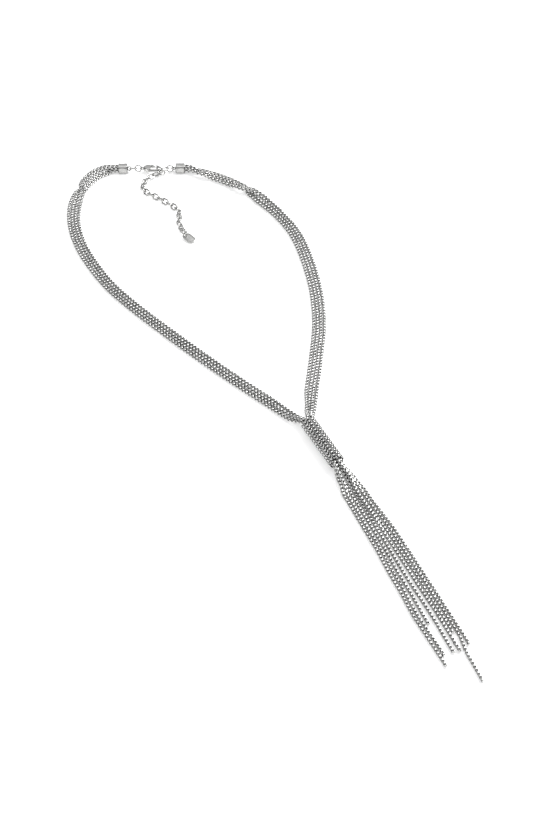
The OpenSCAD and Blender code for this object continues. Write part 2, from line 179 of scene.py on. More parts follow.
# Places before and after the sleeve. Columns: y, or distance before the sleeve's mouth in the
# first two rows, then place across the route, then height.
LOW = REST_Z
LEFT_1 = [(24, -2.25, LOW), (10, -2.55, 1), (-133, -3.5, 1.5), (-142, -4.8, LOW), (-170, -5.3, LOW),
          (-193, -6.3, LOW), (-214, -7.2, LOW), (-241, -6.8, LOW)]
LEFT_2 = [(24, -0.75, LOW), (10, -1.3, 2.1), (-133, -2.3, 2.7), (-142, -3.3, LOW), (-170, -3.8, LOW),
          (-193, -4.7, LOW), (-214, -5.6, LOW), (-235, -5.2, LOW)]
LEFT_3 = [(24, 0.75, LOW), (10, -0.3, LOW), (-133, -1.5, 0.9), (-142, -1.8, LOW), (-170, -2.1, LOW),
          (-193, -3, LOW), (-218, -3.7, LOW)]
LEFT_4 = [(24, 2.25, LOW), (10, 1, 1.5), (-133, -0.3, 2.2), (-142, -0.3, LOW), (-170, -0.5, LOW),
          (-193, -1, LOW), (-214, -0.8, LOW), (-235, -1.3, LOW)]
RIGHT_1 = [(24, -2.25, LOW), (10, -1, 2.4), (-133, 0.7, 3.6), (-142, 0.45, 2.1), (-156, 0.8, 1.8),
           (-172, 1.2, LOW), (-193, 1.3, LOW), (-214, 1.5, LOW), (-235, 1.2, LOW)]
RIGHT_2 = [(24, -0.75, LOW), (10, 0, 0.8), (-133, 0.8, 1.1), (-142, 1.25, LOW), (-170, 2.8, LOW),
           (-193, 2.9, LOW), (-225, 2.9, LOW)]
RIGHT_3 = [(24, 0.75, LOW), (10, 1.1, 2.2), (-133, 1.75, 2.6), (-142, 2.8, LOW), (-170, 4.3, LOW),
           (-193, 4.4, LOW), (-226, 4.4, LOW), (-240, 2.9, LOW), (-252, 2.4, LOW)]
RIGHT_4 = [(24, 2.25, LOW), (10, 2.15, 1.1), (-133, 3.1, 1.4), (-142, 4.35, LOW), (-170, 5.8, LOW),
           (-193, 5.9, LOW), (-233, 5.9, LOW)]

# Columns: table, table of the pair, side of the pair, place in the sleeve
LEFT_CHAINS = [(LEFT_1, LEFT_UNDER, -1, 2), (LEFT_2, LEFT_UNDER, 1, 1), (LEFT_3, LEFT_OVER, -1, 3),
               (LEFT_4, LEFT_OVER, 1, -1)]
RIGHT_CHAINS = [(RIGHT_1, RIGHT_UNDER, -1, 0), (RIGHT_2, RIGHT_UNDER, 1, 4), (RIGHT_3, RIGHT_OVER, -1, 6),
                (RIGHT_4, RIGHT_OVER, 1, 5)]
LEFT_SEED = 11
RIGHT_SEED = 31


def arc(centre, radius, angles):
    """Points of an arc in a plan, at angles in degrees"""
    turns = [math.radians(a) for a in angles]
    return [(centre[0] + radius * math.cos(a), centre[1] + radius * math.sin(a)) for a in turns]


# Clasp, in its own plan: u along the clasp line from the clasp's eye, v across it
CLAW_START = 9.4
NOSE_U = 7.4
NOSE_R = 1.55
LIMB_D = 1.2
LIMB_TIP_EDGE = 0.14
NOSE_SWEEP = 175
CLAW_EYE_R = 0.8
PLATE_U = 4.1
PLATE_R = 2.05
BODY_T = 1.8
LEVER_T = 0.7
LEVER_GAP = 0.06
PIN_R = 0.28
PIN_PROUD = 0.06
CORE_LAP = 0.02
PIVOT = (4.3, 1.25)
CHEEK_EDGE = 0.42
LEVER_EDGE = 0.13
# The bite in the round plate's end: its middle and radius, and the reach that keeps its rim sharp
BITE = (5.9, 0, 1.0)
BITE_REACH = 1.05
# Half the outline of the clasp's cheeks: neck, round plate and the bite
CHEEK = [(1.8, 0.45)] + arc((PLATE_U, 0), PLATE_R, range(122, 33, -8))
CHEEK += arc(BITE[:2], BITE[2], (130, 150, 170))
# The edge of the lever's slot, in the core between the cheeks
SLOT_SIDE = [(4.9, 0.2), (3.2, 0.2), (3.2, 1.79)]
LEVER = [
    (4.3, 0.53), (7.16, 0.93), (7.36, 0.98), (7.36, 1.68), (6.6, 1.77), (6.2, 2.3), (5.75, 2.75),
    (5.3, 2.75), (5.25, 2.3), (4.3, 1.97), (3.79, 1.76), (3.58, 1.25), (3.79, 0.74),
]

# The far side of the ring that the clasp is hooked into, a ring HOOK_SPAN across at its middle line
HOOK_WIRE_D = 0.6
HOOK_SPAN = 3.1
HOOK_GAP = 0.1
HOOK_TURN = math.radians(-30)
HOOK_DIR = np.array([math.cos(HOOK_TURN), math.sin(HOOK_TURN)])
HOOK_OUT = (np.array([CLAW_START + NOSE_U, 0]) + NOSE_R * HOOK_DIR
            - (LIMB_D / 2 + HOOK_WIRE_D / 2 + HOOK_GAP) * HOOK_DIR + HOOK_SPAN * HOOK_DIR)

# Ends of the two long links on the clasp line
LEFT_LINK = ((CAP_EYE_T + CAP_EYE_R - LINK_END, 0), (8.2, 0))
LEFT_LINK_LEAN = -25
RIGHT_RING_START = np.array([21.9, -0.5])
RIGHT_LINK_IN = 0.7
RIGHT_LINK_OUT = 0.78
RIGHT_LINK_RISE = 0.25

# Tag
TAG_W = 4.2
TAG_LEN = 6.4
TAG_T = 0.6
TAG_SLOPE = 9
TAG_TURN = 22
TAG_HOLE_AT = (-1.75, 42.6)
TAG_HOLE_Y = TAG_LEN - 1.25
RIM_MARGIN = 0.12
RIM_W = 0.5
RIM_H = 0.2
RIM_SUNK = 0.03
RIM_EDGE = 0.05
RIM_ANGLE = 0.8

# Sides of a round bar, and the angle in degrees up to which edges of round wire stay smooth
BAR_SIDES = 20
WIRE_SMOOTH = 80
# Value of the painted-shade mask from which a metal shows its full tone, and the part of the noise
# over which it goes from dark to light
FULL_TONE_AT = 0.4
DARK_AT = 0.3
LIGHT_AT = 0.7

# Stage, in metres and degrees, as in the photo
FLOOR_HALF = 4.0
FLOOR_DROP = 0.00005
FLOOR_COLOUR = (0.93, 0.93, 0.93, 1)
FLOOR_GLOW = 0.4
WORLD_COLOUR = (0.75, 0.76, 0.78, 1)
WORLD_STRENGTH = 0.2
AIM = (-0.01, -0.08, 0)
# Columns: name, place, size, watts
LIGHTS = [
    ("key", (0.9, 0.3, 1.1), (0.7, 0.7), 18),
    ("overhead", (-0.1, 0.3, 1.7), (1.7, 1.1), 9),
    ("side_fill", (-1.3, -0.3, 0.9), (0.6, 0.9), 6),
    ("back_panel", (0.38, 0.85, 0.92), (1.5, 1.1), 3.0),
    ("front_panel", (-0.55, -1.2, 1.15), (0.8, 0.6), 1.2),
]
VIEW_TARGET = (-0.0103, -0.0830, 0)
VIEW_ABOVE = 40
VIEW_LEFT = 22
VIEW_REACH = 1.078
SENSOR_MM = 36
LENS_MM = 115.94


# Curves


def on_line(t, v=0.0):
    """A point on the clasp line, seen from above"""
    return LEFT_CAP_MOUTH + t * LINE_DIR + v * np.array([-LINE_DIR[1], LINE_DIR[0]])


def smooth_curve(points, steps=CURVE_STEPS):
    """A smooth curve through the points, whose ends run on straight"""
    p = [np.asarray(q, float) for q in points]
    p = [2 * p[0] - p[1]] + p + [2 * p[-1] - p[-2]]
    out = []
    for a, b, c, d in zip(p, p[1:], p[2:], p[3:]):
        for k in range(steps):
            t = k / steps
            out.append(0.5 * (2 * b + (c - a) * t + (2 * a - 5 * b + 4 * c - d) * t * t
                              + (3 * b - a - 3 * c + d) * t ** 3))
    out.append(p[-2])
    return np.array(out)


def side_curve(route):
    """The route of one side, run on straight through the sleeve and down to the tassel's end"""
    run = smooth_curve(list(route) + [MOUTH + RUN_ON * SLEEVE_DIR])
    return np.vstack([run[:-CURVE_STEPS], MOUTH + SLEEVE_LEN * SLEEVE_DIR, FAN, TASSEL_END])


def lengths(points):
    """Distance along the points, one number for each"""
    return np.concatenate([[0], np.cumsum(np.linalg.norm(np.diff(points, axis=0), axis=1))])


def along(points, distance, s):
    """Places at the distances s along the points"""
    return np.stack([np.interp(s, distance, points[:, k]) for k in range(points.shape[1])], -1)


def eased(rows, s, column):
    """A column of the rows at the distances s, eased from each row to the next"""
    rows = np.array(rows, float)
    i = np.clip(np.searchsorted(rows[:, 0], s, side="right") - 1, 0, len(rows) - 2)
    t = np.clip((s - rows[i, 0]) / (rows[i + 1, 0] - rows[i, 0]), 0, 1)
    e = t * t * (3 - 2 * t)
    return rows[i, column] * (1 - e) + rows[i + 1, column] * e


def sleeve_place(k):
    """The sleeve holds one chain in the middle and seven around it"""
    if k < 0:
        return 0.0, SLEEVE_Z
    r = STRAND_PITCH / 2 / math.sin(math.pi / 7)
    a = math.radians(90 + k * 360 / 7)
    return r * math.cos(a), SLEEVE_Z + r * math.sin(a)


def chain_path(route, chain):
    """Points of one chain, PATH_STEP apart"""
    own, pair, side, hole = chain
    flat = side_curve(route)
    distance = lengths(flat)
    end = distance[-1]
    mouth = distance[-4]
    x, z = sleeve_place(hole)
    rows = [(r[0], STRAND_PITCH * (r[1] + side * r[2] / 2), REST_Z + STRAND_PITCH * r[3]) for r in pair]
    rows += [(mouth - r[0], r[1], r[2]) for r in own[:2]]
    rows += [(mouth - MOUTH_RUN, x, z), (mouth + SLEEVE_LEN, x, z)]
    rows += [(end + TASSEL_END[1] - r[0], r[1], r[2]) for r in own[2:]]
    s = np.arange(0, rows[-1][0], PATH_STEP)
    d = along(flat, distance, s + PATH_REACH) - along(flat, distance, s - PATH_REACH)
    across = np.stack([-d[:, 1], d[:, 0]], -1) / np.linalg.norm(d, axis=1)[:, None]
    plan = along(flat, distance, s) + eased(rows, s, 1)[:, None] * across
    return np.column_stack([plan, eased(rows, s, 2)])


# Meshes


def as_mesh(bm, name):
    mesh = bpy.data.meshes.new(name)
    bm.to_mesh(mesh)
    bm.free()
    return mesh


def saved(bm, name):
    """The finished bmesh as a mesh, its faces turned outwards"""
    bmesh.ops.recalc_face_normals(bm, faces=bm.faces)
    return as_mesh(bm, name)


def lifted(bm, grown, height):
    """Moves the new end of an extrusion along Z"""
    new = [v for v in grown["geom"] if isinstance(v, bmesh.types.BMVert)]
    bmesh.ops.translate(bm, vec=(0, 0, height), verts=new)


def bevelled(bm, edges, offset, segments):
    """Rounds the edges in the given number of steps"""
    bmesh.ops.bevel(bm, geom=edges, offset=offset, offset_type="OFFSET", segments=segments, profile=0.5,
                    affect="EDGES", material=-1)


def box_link(length, width, strip, thick, up=None):
    """One link of a box chain along X: a rounded square loop of flat wire in the XY plane.
    Its vertex attribute sets where shade is painted: 0 on the inside of the loop, and low away from the
    direction up."""
    bm = bmesh.new()
    bmesh.ops.create_grid(bm, x_segments=1, y_segments=1, size=0.5)
    bmesh.ops.scale(bm, vec=(length, width, 1), verts=bm.verts)
    corner = CORNER_CUT * min(length, width) / CORNER_FOR
    bmesh.ops.bevel(bm, geom=bm.verts[:], offset=corner, offset_type="OFFSET", segments=2, profile=0.5,
                    affect="VERTICES", material=-1)
    grown = bmesh.ops.extrude_face_region(bm, geom=bm.faces[:])
    lifted(bm, grown, strip)
    bmesh.ops.translate(bm, vec=(0, 0, -strip / 2), verts=bm.verts)
    bmesh.ops.delete(bm, geom=[f for f in bm.faces if len(f.verts) > 4], context="FACES_ONLY")
    bmesh.ops.recalc_face_normals(bm, faces=bm.faces)
    bmesh.ops.solidify(bm, geom=bm.faces[:], thickness=thick)
    rims = [e for e in bm.edges if all(abs(abs(v.co.z) - strip / 2) < NEAR for v in e.verts)
            and abs(e.verts[0].co.z - e.verts[1].co.z) < NEAR
            and on_outside((e.verts[0].co + e.verts[1].co) / 2, length, width, thick)]
    bevelled(bm, rims, LINK_BEVEL, 1)
    bmesh.ops.recalc_face_normals(bm, faces=bm.faces)
    # Painted shade: the loop's inner faces, and the faces turned away from up, are marked for a darker tone
    unshaded = bm.verts.layers.float.new("unshaded")
    for v in bm.verts:
        high = 1.0 if up is None else min(max(0.5 + UP_FADE * v.co.dot(Vector(up)), 0.0), 1.0)
        v[unshaded] = high if on_outside(v.co, length, width, thick) else 0.0
    return as_mesh(bm, "box_link")


def on_outside(point, length, width, thick):
    """Whether a point lies on or outside the middle line of a box link's wire"""
    out = max(abs(point.x) / (length / 2 - thick / 2), abs(point.y) / (width / 2 - thick / 2))
    at_corner = math.hypot(point.x, point.y) > CORNER_REACH * math.hypot(length - thick, width - thick)
    return out > ON_LINE or at_corner


def round_link(length, width, wire, sides=10, bends=24):
    """A long link along X in the XY plane, its end bars length apart"""
    r = (width - wire) / 2
    bm = bmesh.new()
    made = bmesh.ops.create_circle(bm, segments=sides, radius=wire / 2)
    half_bend = Matrix.Rotation(math.pi / bends, 4, "Z")
    turn = half_bend @ Matrix.Translation((r, 0, 0)) @ Matrix.Rotation(math.pi / 2, 4, "X")
    bmesh.ops.transform(bm, matrix=turn, verts=made["verts"])
    bmesh.ops.spin(bm, geom=bm.verts[:] + bm.edges[:], cent=(0, 0, 0), axis=(0, 0, 1), angle=2 * math.pi,
                   steps=bends, use_merge=True)
    for side in (1, -1):
        half = [v for v in bm.verts if v.co.x * side > 0]
        bmesh.ops.translate(bm, vec=(side * (length / 2 - r), 0, 0), verts=half)
    return saved(bm, "round_link")


def joined(name, parts, sharp=50):
    """One object made of a copy of each mesh at each of its places: rows of a rotation and a point"""
    points, corners, sizes, unshaded, count = [], [], [], [], 0
    for mesh, turns, centres in parts:
        local = np.empty(len(mesh.vertices) * 3)
        mesh.vertices.foreach_get("co", local)
        local = local.reshape(-1, 3)
        faces = np.empty(len(mesh.loops), int)
        mesh.loops.foreach_get("vertex_index", faces)
        totals = np.empty(len(mesh.polygons), int)
        mesh.polygons.foreach_get("loop_total", totals)
        placed = np.einsum("nij,vj->nvi", turns, local) + centres[:, None, :]
        n = len(centres)
        # Each mesh's painted-shade mask goes along with it; a mesh without one keeps its full tone
        shade = np.ones(len(mesh.vertices))
        if "unshaded" in mesh.attributes:
            mesh.attributes["unshaded"].data.foreach_get("value", shade)
        unshaded.append(np.tile(shade, n))
        points.append(placed.reshape(-1, 3))
        corners.append((faces[None, :] + count + (np.arange(n) * len(local))[:, None]).ravel())
        sizes.append(np.tile(totals, n))
        count += n * len(local)
    points, corners, sizes = np.vstack(points) * MM, np.concatenate(corners), np.concatenate(sizes)
    mesh = bpy.data.meshes.new(name)
    mesh.vertices.add(len(points))
    mesh.vertices.foreach_set("co", points.ravel())
    mesh.loops.add(len(corners))
    mesh.loops.foreach_set("vertex_index", corners)
    mesh.polygons.add(len(sizes))
    mesh.polygons.foreach_set("loop_start", np.concatenate([[0], np.cumsum(sizes)[:-1]]))
    mesh.polygons.foreach_set("loop_total", sizes)
    mesh.polygons.foreach_set("use_smooth", np.ones(len(sizes), bool))
    mesh.attributes.new("unshaded", "FLOAT", "POINT").data.foreach_set("value", np.concatenate(unshaded))
    mesh.update(calc_edges=True)
    mesh.set_sharp_from_angle(angle=math.radians(sharp))
    obj = bpy.data.objects.new(name, mesh)
    bpy.context.scene.collection.objects.link(obj)
    return obj


def rolled(tangents, rolls):
    """Rotations with X along each tangent, turned about it by roll (0 lies flat)"""
    t = tangents / np.linalg.norm(tangents, axis=1)[:, None]
    n = np.cross([0, 0, 1], t)
    n /= np.linalg.norm(n, axis=1)[:, None]
    u = np.cross(t, n)
    c, s = np.cos(rolls)[:, None], np.sin(rolls)[:, None]
    return np.stack([t, c * n + s * u, c * u - s * n], -1)


def chain_links(path, pitch, phase, twist):
    """Centres and rotations of the links along a path, each turned a quarter from the last"""
    distance = lengths(path)
    s = np.arange(phase, distance[-1], pitch)
    centres = along(path, distance, s)
    tangents = along(path, distance, s + LINK_REACH) - along(path, distance, s - LINK_REACH)
    tangents[np.linalg.norm(tangents, axis=1) < 1e-6] = path[-1] - path[-2]
    rolls = (np.arange(len(s)) % 2) * math.pi / 2 + twist(s)
    return centres, rolled(tangents, rolls)


def make_box_chain(name, route, chain, seed):
    """One chain, which leans a little and twists gently to and fro along its length"""
    rng = np.random.default_rng(seed)
    lean, wave, shift = rng.uniform(-0.12, 0.12), rng.uniform(0.06, 0.16), rng.uniform(0, 6)
    link = box_link(LINK_SIZE, LINK_SIZE, LINK_STRIP, LINK_THICK)
    centres, turns = chain_links(chain_path(route, chain), LINK_PITCH, rng.uniform(0.4, 0.9),
                                 lambda s: lean + wave * np.sin(s / TWIST_WAVE + shift))
    return joined(name, [(link, turns, centres)])


def make_sleeve():
    """Rows of flat and upright box links side by side around the sleeve's bore"""
    radius = SLEEVE_D / 2 - SLEEVE_UPRIGHT_TALL / 2 + SLEEVE_PROUD
    # Painted shade: the links' insides and their faces turned in towards the bore get a near-black tone
    flat = box_link(LINK_SIZE, LINK_SIZE, SLEEVE_FLAT_STRIP, SLEEVE_FLAT_THICK, up=(0, 0, 1))
    upright = box_link(SLEEVE_UPRIGHT_LEN, SLEEVE_UPRIGHT_TALL, SLEEVE_UPRIGHT_STRIP, LINK_THICK,
                       up=(0, 1, 0))
    # For flat links (0) and upright ones (1): their rotations and their centres
    places = {0: ([], []), 1: ([], [])}
    count = round(SLEEVE_LEN / LINK_PITCH)
    down = np.array([*SLEEVE_DIR, 0])
    aside = np.array([-SLEEVE_DIR[1], SLEEVE_DIR[0], 0])
    for row in range(SLEEVE_ROWS):
        a = 2 * math.pi * (row + 0.5) / SLEEVE_ROWS
        out = math.cos(a) * aside + np.array([0, 0, math.sin(a)])
        side = np.cross(down, out)
        for k in range(count):
            run = LINK_SIZE / 2 + k * (SLEEVE_LEN - LINK_SIZE) / (count - 1)
            kind = (k + row) % 2
            centre = np.array([*MOUTH, SLEEVE_Z]) + run * down + radius * out
            turn = np.stack([down, side, out] if kind == 0 else [down, out, -side], -1)
            places[kind][0].append(turn)
            places[kind][1].append(centre)
    return joined("woven_sleeve", [(mesh, np.array(places[k][0]), np.array(places[k][1]))
                                   for k, mesh in ((0, flat), (1, upright))])


def lean_deg(i):
    """How far an extension link leans from flat, in degrees"""
    if i < len(FIRST_LEANS):
        return FIRST_LEANS[i]
    return LAST_LEAN if i == LAST else LEAN + LEAN_SWING * math.sin(math.radians(LEAN_STEP * i))


def link_z(i):
    """Height of an extension link: the first hangs from its ring, the last carries the tag's ring"""
    if i == 0:
        return FIRST_LINK_Z
    if i == LAST:
        return LAST_LINK_Z
    low = max(abs(math.sin(math.radians(lean_deg(i) + k))) for k in (0, QUARTER))
    return CHAIN_WIRE_D / 2 + (LINK_W - CHAIN_WIRE_D) / 2 * low + LINK_CLEAR


def make_extension_chain():
    """The free end of the extension chain, from the hook ring down to the tag's ring"""
    start = on_line(*HOOK_OUT)
    route = [
        start + (0.6, 0.1), start - (1.95, 0.8), (0.9, 91.6), (-1.6, 90.7), (-3.7, 89.3), (-5.5, 87.5),
        (-6.8, 85.2), (-7.2, 82.6), (-6.6, 80), (-5.3, 77.3), (-3.7, 74.5), (-2.3, 71.8), (-0.9, 69),
        (0.6, 65.8), (1.6, 62.6), (1.4, 59.7), (0.3, 56.8), (-1, 53.7), (-1.7, 50.9), (-1.75, 47.6),
        (-2.18, 44.72),
    ]
    flat = smooth_curve(route)
    distance = lengths(flat)
    ends = along(flat, distance, np.linspace(0, distance[-1], LINK_COUNT + 1))
    parts = []
    for i, (a, b) in enumerate(zip(ends, ends[1:])):
        link = round_link(np.linalg.norm(b - a) + CHAIN_WIRE_D + LINK_GAP, DRAWN_LINK_W, DRAWN_WIRE_D)
        turn = rolled(np.array([[*(b - a), 0]]), np.radians([lean_deg(i) + (i % 2) * QUARTER]))
        parts.append((link, turn, np.array([[*(a + b) / 2, link_z(i)]])))
    return joined("extension_links", parts, WIRE_SMOOTH)


def make_link(name, a, b, roll, z):
    """A long link on the clasp line, its end bars at a and b"""
    a, b = on_line(*a), on_line(*b)
    link = round_link(np.linalg.norm(b - a), LINE_LINK_W, WIRE_D)
    turn = rolled(np.array([[*(b - a), 0]]), np.radians([roll]))
    return joined(name, [(link, turn, np.array([[*(a + b) / 2, z]]))], WIRE_SMOOTH)


def line_frame():
    """Rotation with X along the clasp line"""
    return rolled(np.array([[*LINE_DIR, 0]]), np.array([0.0]))


def line_point(t):
    """A point on the clasp line, as one row"""
    return np.array([[*on_line(t), LINE_Z]])


def cap_shell():
    """A square cap along X with rounded edges, open at its mouth at the origin"""
    bm = bmesh.new()
    bmesh.ops.create_cube(bm, size=1)
    bmesh.ops.scale(bm, vec=(CAP_LEN, CAP_W, CAP_W), verts=bm.verts)
    bmesh.ops.translate(bm, vec=(CAP_LEN / 2, 0, 0), verts=bm.verts)
    mouth = [f for f in bm.faces if f.calc_center_median().x < NEAR]
    bmesh.ops.delete(bm, geom=mouth, context="FACES_ONLY")
    bevelled(bm, [e for e in bm.edges if abs(e.verts[0].co.x - e.verts[1].co.x) > 1], CAP_EDGE, 4)
    bevelled(bm, [e for e in bm.edges if min(v.co.x for v in e.verts) > CAP_LEN - NEAR], CAP_END_EDGE, 3)
    for x in CAP_CUTS:
        bmesh.ops.bisect_plane(bm, geom=bm.verts[:] + bm.edges[:] + bm.faces[:], plane_co=(x, 0, 0),
                               plane_no=(1, 0, 0))
    bmesh.ops.recalc_face_normals(bm, faces=bm.faces)
    bmesh.ops.solidify(bm, geom=bm.faces[:], thickness=CAP_WALL)
    # Painted shade: the cap darkens towards its underside and towards its mouth and closed end
    unshaded = bm.verts.layers.float.new("unshaded")
    for v in bm.verts:
        from_ends = min(max(v.co.x, 0), max(CAP_LEN - v.co.x, 0))
        v[unshaded] = min(max(v.co.z + CAP_W / 2, 0) / CAP_SHADE_UP, from_ends / CAP_SHADE_IN, 1)
    return saved(bm, "cap_shell")


def make_cap(name, t, way, roll):
    """An end cap with its mouth at t on the clasp line, two raised bands and its soldered eye"""
    turn = line_frame() if way > 0 else line_frame() * (-1, -1, 1)
    eye = round_link(2 * CAP_EYE_R, 2 * CAP_EYE_R + WIRE_D, WIRE_D)
    band = box_link(BAND_W, BAND_W, BAND_LEN, BAND_THICK)
    across = turn[:, :, [1, 2, 0]]
    c, d = math.cos(math.radians(roll)), math.sin(math.radians(roll))
    eye_turn = turn @ np.array([[1, 0, 0], [0, c, -d], [0, d, c]])
    bands = np.vstack([line_point(t + way * x) for x in BAND_AT])
    return joined(name, [
        (cap_shell(), turn, line_point(t)),
        (eye, eye_turn, line_point(t + way * CAP_EYE_T)),
        (band, np.vstack([across, across]), bands),
    ])


def rounded_plate(outline, low, high, rim_heights=(), edge=0.0, bite=None):
    """A flat plate from a plan outline, its rims at the given heights rounded, but not round the bite"""
    bm = bmesh.new()
    face = bm.faces.new([bm.verts.new((u, v, low)) for u, v in outline])
    grown = bmesh.ops.extrude_face_region(bm, geom=[face])
    lifted(bm, grown, high - low)
    bmesh.ops.contextual_create(bm, geom=[e for e in bm.edges if e.is_boundary])
    bmesh.ops.recalc_face_normals(bm, faces=bm.faces)
    rims = [e for e in bm.edges if any(all(abs(v.co.z - z) < NEAR for v in e.verts) for z in rim_heights)]
    if bite:
        middle, reach = Vector((bite[0], bite[1], 0)), BITE_REACH * bite[2]
        rims = [e for e in rims if ((e.verts[0].co + e.verts[1].co) / 2 - middle).xy.length > reach]
    if rims:
        bevelled(bm, rims, edge, 4)
    return saved(bm, "plate")


def hook_limb():
    """The clasp's hooked limb, round the nose"""
    bm = bmesh.new()
    made = bmesh.ops.create_circle(bm, segments=BAR_SIDES, radius=LIMB_D / 2)
    place = Matrix.Translation((NOSE_U, -NOSE_R, 0)) @ Matrix.Rotation(math.pi / 2, 4, "Y")
    bmesh.ops.transform(bm, matrix=place, verts=made["verts"])
    bmesh.ops.spin(bm, geom=bm.verts[:] + bm.edges[:], cent=(NOSE_U, 0, 0), axis=(0, 0, 1),
                   angle=math.radians(NOSE_SWEEP), steps=20)
    bmesh.ops.holes_fill(bm, edges=bm.edges[:])
    bmesh.ops.recalc_face_normals(bm, faces=bm.faces)
    tip = [f for f in bm.faces if len(f.verts) > 4 and f.calc_center_median().y > 0]
    bevelled(bm, [e for f in tip for e in f.edges], LIMB_TIP_EDGE, 2)
    return saved(bm, "hook_limb")


def bar(radius, length, place):
    """A round bar, made along Z and then placed"""
    bm = bmesh.new()
    bmesh.ops.create_cone(bm, cap_ends=True, segments=BAR_SIDES, radius1=radius, radius2=radius, depth=length)
    bmesh.ops.transform(bm, matrix=place, verts=bm.verts)
    return saved(bm, "bar")


def at_claw(mesh):
    """A mesh in the clasp's own plan, with its place on the clasp line"""
    return mesh, line_frame(), line_point(CLAW_START)


def make_clasp():
    """The clasp's body: two rounded cheeks on a core that leaves the lever's slot open, limb, eye and pin"""
    lower = [(u, -v) for u, v in CHEEK]
    cheek = lower + CHEEK[::-1]
    core = lower + SLOT_SIDE + CHEEK[1::-1]
    slot = LEVER_T / 2 + LEVER_GAP
    half = BODY_T / 2
    eye = round_link(2 * CLAW_EYE_R, 2 * CLAW_EYE_R + WIRE_D, WIRE_D)
    limb_middle = Matrix.Translation(((PLATE_U + NOSE_U) / 2, -NOSE_R, 0))
    return joined("clasp_shell", [
        at_claw(rounded_plate(cheek, slot, half, [half], CHEEK_EDGE, BITE)),
        at_claw(rounded_plate(cheek, -half, -slot, [-half], CHEEK_EDGE, BITE)),
        at_claw(rounded_plate(core, -slot - CORE_LAP, slot + CORE_LAP)),
        at_claw(hook_limb()),
        at_claw(bar(LIMB_D / 2, NOSE_U - PLATE_U, limb_middle @ Matrix.Rotation(math.pi / 2, 4, "Y"))),
        at_claw(bar(PIN_R, BODY_T + PIN_PROUD, Matrix.Translation((*PIVOT, 0)))),
        (eye, line_frame(), line_point(CLAW_START + CLAW_EYE_R + WIRE_D / 2)),
    ])


def make_lever():
    """The clasp's lever: one rounded plate"""
    half = LEVER_T / 2
    return joined("lever_plate", [at_claw(rounded_plate(LEVER, -half, half, [-half, half], LEVER_EDGE))])


def make_tag_rim():
    """A plain raised border round the top of the tag"""
    bm = bmesh.new()
    bmesh.ops.create_circle(bm, cap_ends=True, segments=48, radius=TAG_W / 2 - RIM_MARGIN)
    for side in (1, -1):
        half = [v for v in bm.verts if v.co.y * side > NEAR]
        bmesh.ops.translate(bm, vec=(0, side * (TAG_LEN - TAG_W) / 2, 0), verts=half)
    inner = bm.faces[:]
    bmesh.ops.inset_region(bm, faces=inner, thickness=RIM_W, use_boundary=True, use_even_offset=True)
    bmesh.ops.delete(bm, geom=inner, context="FACES_ONLY")
    grown = bmesh.ops.extrude_face_region(bm, geom=bm.faces[:])
    lifted(bm, grown, RIM_H)
    bmesh.ops.recalc_face_normals(bm, faces=bm.faces)
    top = [e for e in bm.edges if min(v.co.z for v in e.verts) > RIM_H / 2]
    bevelled(bm, [e for e in top if e.calc_face_angle(0) > RIM_ANGLE], RIM_EDGE, 1)
    place = (Matrix.Translation((*TAG_HOLE_AT, 0)) @ Matrix.Rotation(math.radians(TAG_TURN), 4, "Z")
             @ Matrix.Translation((0, -TAG_HOLE_Y, 0)) @ Matrix.Rotation(math.radians(TAG_SLOPE), 4, "X")
             @ Matrix.Translation((0, TAG_LEN / 2, TAG_T - RIM_SUNK)))
    bmesh.ops.transform(bm, matrix=place, verts=bm.verts)
    return joined("tag_rim", [(as_mesh(bm, "tag_border"), np.eye(3)[None], np.zeros((1, 3)))])


# Materials


def metal(name, dark, light, rough, cell=900.0, shade_tone=None):
    """Bright metal with a faintly uneven tone. Where the shade mask is low, a dark tone is mixed in as
    painted shade.
    """
    mat = bpy.data.materials.new(name)
    mat.use_nodes = True
    nodes, wires = mat.node_tree.nodes, mat.node_tree.links
    shader = nodes["Principled BSDF"]
    shader.inputs["Metallic"].default_value = 1.0
    coords = nodes.new("ShaderNodeTexCoord")
    noise = nodes.new("ShaderNodeTexNoise")
    noise.inputs["Scale"].default_value = cell
    noise.inputs["Detail"].default_value = 3.0
    tone = nodes.new("ShaderNodeValToRGB")
    tone.color_ramp.elements[0].position = DARK_AT
    tone.color_ramp.elements[0].color = (*dark, 1)
    tone.color_ramp.elements[1].position = LIGHT_AT
    tone.color_ramp.elements[1].color = (*light, 1)
    gloss = nodes.new("ShaderNodeMapRange")
    gloss.inputs["To Min"].default_value = rough[0]
    gloss.inputs["To Max"].default_value = rough[1]
    wires.new(coords.outputs["Object"], noise.inputs["Vector"])
    wires.new(noise.outputs["Fac"], tone.inputs["Fac"])
    wires.new(noise.outputs["Fac"], gloss.inputs["Value"])
    wires.new(gloss.outputs["Result"], shader.inputs["Roughness"])
    if shade_tone is None:
        wires.new(tone.outputs["Color"], shader.inputs["Base Color"])
        return mat
    # Painted shade: the dark tone is mixed in where the mask attribute is low
    side = nodes.new("ShaderNodeAttribute")
    side.attribute_name = "unshaded"
    reach = nodes.new("ShaderNodeMapRange")
    reach.inputs["From Max"].default_value = FULL_TONE_AT
    mix = nodes.new("ShaderNodeMix")
    mix.data_type = "RGBA"
    factor, inside, outside = mix.inputs[0], mix.inputs[6], mix.inputs[7]
    inside.default_value = (shade_tone, shade_tone, shade_tone, 1)
    wires.new(side.outputs["Fac"], reach.inputs["Value"])
    wires.new(reach.outputs["Result"], factor)
    wires.new(tone.outputs["Color"], outside)
    wires.new(mix.outputs[2], shader.inputs["Base Color"])
    return mat


def paint(obj, mat):
    obj.data.materials.clear()
    obj.data.materials.append(mat)


# Stage


